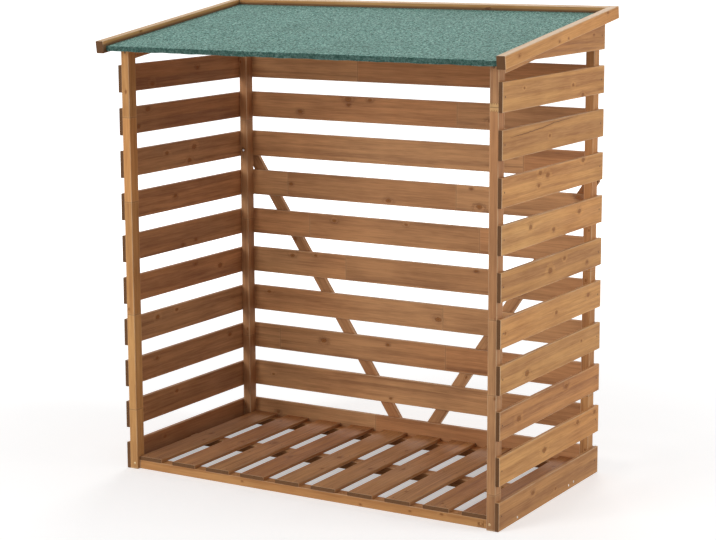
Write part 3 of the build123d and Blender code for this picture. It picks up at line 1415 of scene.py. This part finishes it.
@dataclass
class Studio:
    """Pale floor, white surround, soft lamps and the camera.

    Attributes:
        floor_radius: radius of the floor.
        floor_white: how much light the floor gives back.
        near_glow: glow of the floor under the store, as the viewer sees it.
        far_glow: what is added to it away from the store.
        surround_light: light of the surround on the store.
        eye: place of the camera.
        heading: turn of the camera about the upright, in degrees.
        dip: how far it looks down, in degrees.
        roll: its lean to the side, in degrees.
        sensor_width: width of its sensor, in millimetres.
        focal_pixels: its focal length in picture points.
        picture: width and height of the picture.
        horizon_row: row of the picture that its middle ray meets.
    """

    floor_radius: float = 60.0
    floor_white: float = 0.80
    near_glow: float = 0.45
    far_glow: float = 0.6
    surround_light: float = 0.38
    eye: Triple = (3.1735, -5.3601, 1.8331)
    heading: float = 30.597
    dip: float = 9.523
    roll: float = -0.193
    sensor_width: float = 36.0
    focal_pixels: float = 1918.1
    picture: tuple[int, int] = (716, 540)
    horizon_row: float = 240.0

    def build(self) -> None:
        """Builds the floor, the surround, the lamps and the camera."""
        self._lay_floor()
        self._hang_surround()
        self._hang_lamp("side_lamp", (7.4, 1.6, 2.6), (0.4, 0.0, 0.8), 3.2, 205.0)
        self._hang_lamp("front_lamp", (-3.2, -7.2, 3.0), (0.0, 0.0, 0.7), 3.4, 315.0)
        self._hang_lamp("rear_lamp", (-2.6, 7.0, 4.6), (0.0, 0.2, 0.9), 3.4, 170.0)
        self._place_camera()
        bpy.context.scene.view_settings.view_transform = "Standard"

    def _lay_floor(self) -> None:
        """Lays a pale disc whose rim is out of sight, white to the viewer away from the store."""
        shape = bmesh.new()
        bmesh.ops.create_circle(shape, cap_ends=True, radius=self.floor_radius, segments=96)
        mesh = bpy.data.meshes.new("studio_floor")
        shape.to_mesh(mesh)
        shape.free()
        s = Sheet(bpy.data.materials.new("pale_floor"))
        plain = s.put("BsdfDiffuse")
        s.feed(plain.inputs["Color"], (self.floor_white, self.floor_white, self.floor_white))
        glow = s.put("Emission")
        s.feed(glow.inputs["Color"], (1.0, 1.0, 1.0))
        out = s.put("VectorMath", operation="LENGTH")
        s.feed(out.inputs[0], s.put("TexCoord").outputs["Object"])
        away = s.rise(out.outputs["Value"], 1.2, 5.0)
        strength = s.plus(s.times(away, self.far_glow), self.near_glow)
        s.feed(glow.inputs["Strength"], s.times(s.seen(), strength))
        both = s.put("AddShader")
        s.feed(both.inputs[0], plain.outputs[0])
        s.feed(both.inputs[1], glow.outputs[0])
        s.feed(s.put("OutputMaterial").inputs["Surface"], both.outputs[0])
        mesh.materials.append(s.owner)
        floor = bpy.data.objects.new("studio_floor", mesh)
        bpy.context.scene.collection.objects.link(floor)

    def _hang_surround(self) -> None:
        """Gives the surround its white look and its soft even light."""
        world = bpy.data.worlds.new("studio_surround")
        bpy.context.scene.world = world
        s = Sheet(world)
        level = s.put("MapRange")
        s.feed(level.inputs["Value"], s.seen())
        s.feed(level.inputs["To Min"], self.surround_light)
        s.feed(level.inputs["To Max"], 1.0)
        back = s.put("Background")
        s.feed(back.inputs["Color"], (1.0, 1.0, 1.0))
        s.feed(back.inputs["Strength"], level.outputs["Result"])
        s.feed(s.put("OutputWorld").inputs["Surface"], back.outputs[0])

    @staticmethod
    def _hang_lamp(name: str, place: Triple, target: Triple, size: float, power: float) -> None:
        """Hangs a square soft lamp.

        Args:
            name: the lamp's name.
            place: where it hangs.
            target: what it looks at.
            size: length of its side.
            power: its power in watts.
        """
        data = bpy.data.lights.new(name, "AREA")
        data.shape, data.size, data.energy = "SQUARE", size, power
        lamp = bpy.data.objects.new(name, data)
        lamp.location = place
        lamp.rotation_euler = (Vector(target) - Vector(place)).to_track_quat("-Z", "Y").to_euler()
        bpy.context.scene.collection.objects.link(lamp)

    def _place_camera(self) -> None:
        """Places the camera where the photograph was taken from."""
        data = bpy.data.cameras.new("camera")
        data.sensor_width = self.sensor_width
        data.lens = self.focal_pixels * data.sensor_width / self.picture[0]
        data.shift_y = (self.horizon_row - self.picture[1] / 2) / self.picture[0]
        camera = bpy.data.objects.new("camera", data)
        turn = Matrix.Rotation(math.radians(self.heading), 4, "Z")
        lean = Matrix.Rotation(math.radians(90.0 - self.dip), 4, "X")
        tilt = Matrix.Rotation(math.radians(self.roll), 4, "Z")
        camera.rotation_euler = (turn @ lean @ tilt).to_euler()
        camera.location = self.eye
        bpy.context.scene.collection.objects.link(camera)
        bpy.context.scene.camera = camera


def board_knots(*rows: tuple[int, float, float, float]) -> dict[int, tuple[Knot, ...]]:
    """Groups knots by board.

    Args:
        rows: board number, place along it, height over its lower edge, and radius.

    Returns:
        The knots of each board.
    """
    boards: dict[int, list[Knot]] = {}
    for number, along, rise, radius in rows:
        boards.setdefault(number, []).append(Knot(along, (number - 1) * BOARD_PITCH + rise, radius))
    return {number: tuple(knots) for number, knots in boards.items()}


def board_shake(number: int, *places: tuple[float, float]) -> Shake:
    """Places a split on a board.

    Args:
        number: the board's number.
        places: places along it and heights over its lower edge.

    Returns:
        The split.
    """
    return Shake(tuple((along, (number - 1) * BOARD_PITCH + rise) for along, rise in places))


RIGHT_WALL_KNOTS = board_knots(
    (1, -0.109, 0.062, 0.0059), (1, 0.060, 0.030, 0.0034),
    (2, -0.028, 0.038, 0.0083), (2, 0.225, 0.070, 0.0063), (2, 0.361, 0.074, 0.0059),
    (3, -0.216, 0.042, 0.0078), (3, 0.130, 0.069, 0.0069),
    (4, -0.161, 0.031, 0.0083), (4, 0.245, 0.055, 0.0034),
    (5, 0.293, 0.056, 0.0059), (5, 0.048, 0.043, 0.0054), (5, -0.315, 0.044, 0.0044),
    (6, -0.002, 0.043, 0.0083), (6, 0.104, 0.066, 0.0049), (6, 0.279, 0.027, 0.0044),
    (7, -0.147, 0.059, 0.0069), (7, 0.019, 0.029, 0.0059), (7, 0.212, 0.060, 0.0069),
    (8, -0.084, 0.077, 0.0063), (8, -0.030, 0.064, 0.0069),
    (8, -0.093, 0.038, 0.0054), (8, 0.236, 0.082, 0.0063),
    (9, -0.018, 0.043, 0.0039),
    (10, 0.225, 0.008, 0.0054), (10, 0.150, 0.045, 0.0044), (10, -0.201, 0.062, 0.0034),
    (11, 0.305, 0.052, 0.0030),
)

LEFT_WALL_KNOTS = board_knots(
    (7, -0.061, 0.047, 0.0050),
    (8, 0.054, 0.064, 0.0075), (8, -0.105, 0.058, 0.0056), (8, 0.025, 0.020, 0.0066),
)

BACK_WALL_KNOTS = board_knots(
    (5, -0.494, 0.071, 0.0056), (5, -0.396, 0.078, 0.0036), (5, 0.248, 0.080, 0.0038),
    (6, -0.317, 0.069, 0.0048), (6, -0.026, 0.078, 0.0040),
    (7, -0.498, 0.048, 0.0052), (7, -0.097, 0.016, 0.0064), (7, 0.257, 0.020, 0.0070),
    (7, 0.227, 0.080, 0.0036),
    (7, 0.623, 0.078, 0.0068), (7, 0.634, 0.070, 0.0060),
    (9, -0.457, 0.027, 0.0056), (9, -0.258, 0.079, 0.0082),
    (9, -0.256, 0.060, 0.0045), (9, -0.170, 0.080, 0.0050),
)

RIGHT_BRACE_KNOTS = (Knot(1.142, -0.003, 0.0100), Knot(1.136, 0.010, 0.0090), Knot(1.122, 0.006, 0.0080))

RIGHT_WALL_SHAKES = {
    3: board_shake(3, (-0.352, 0.038), (-0.293, 0.039), (-0.232, 0.043)),
    9: board_shake(
        9, (-0.292, 0.064), (-0.176, 0.067), (-0.054, 0.074), (0.013, 0.081), (0.189, 0.0855)
    ),
}


def main() -> None:
    """Dresses the store from the ground up and sets the studio round it."""
    for part in (
        Studio(),
        Posts(),
        SideWall("left", -1, LEFT_WALL_KNOTS),
        SideWall("right", 1, RIGHT_WALL_KNOTS, RIGHT_WALL_SHAKES),
        BackWall(),
        Floor(),
        LeanToRoof(),
    ):
        part.build()
        log.info("%s done", type(part).__name__)


if __name__ == "__main__":
    main()
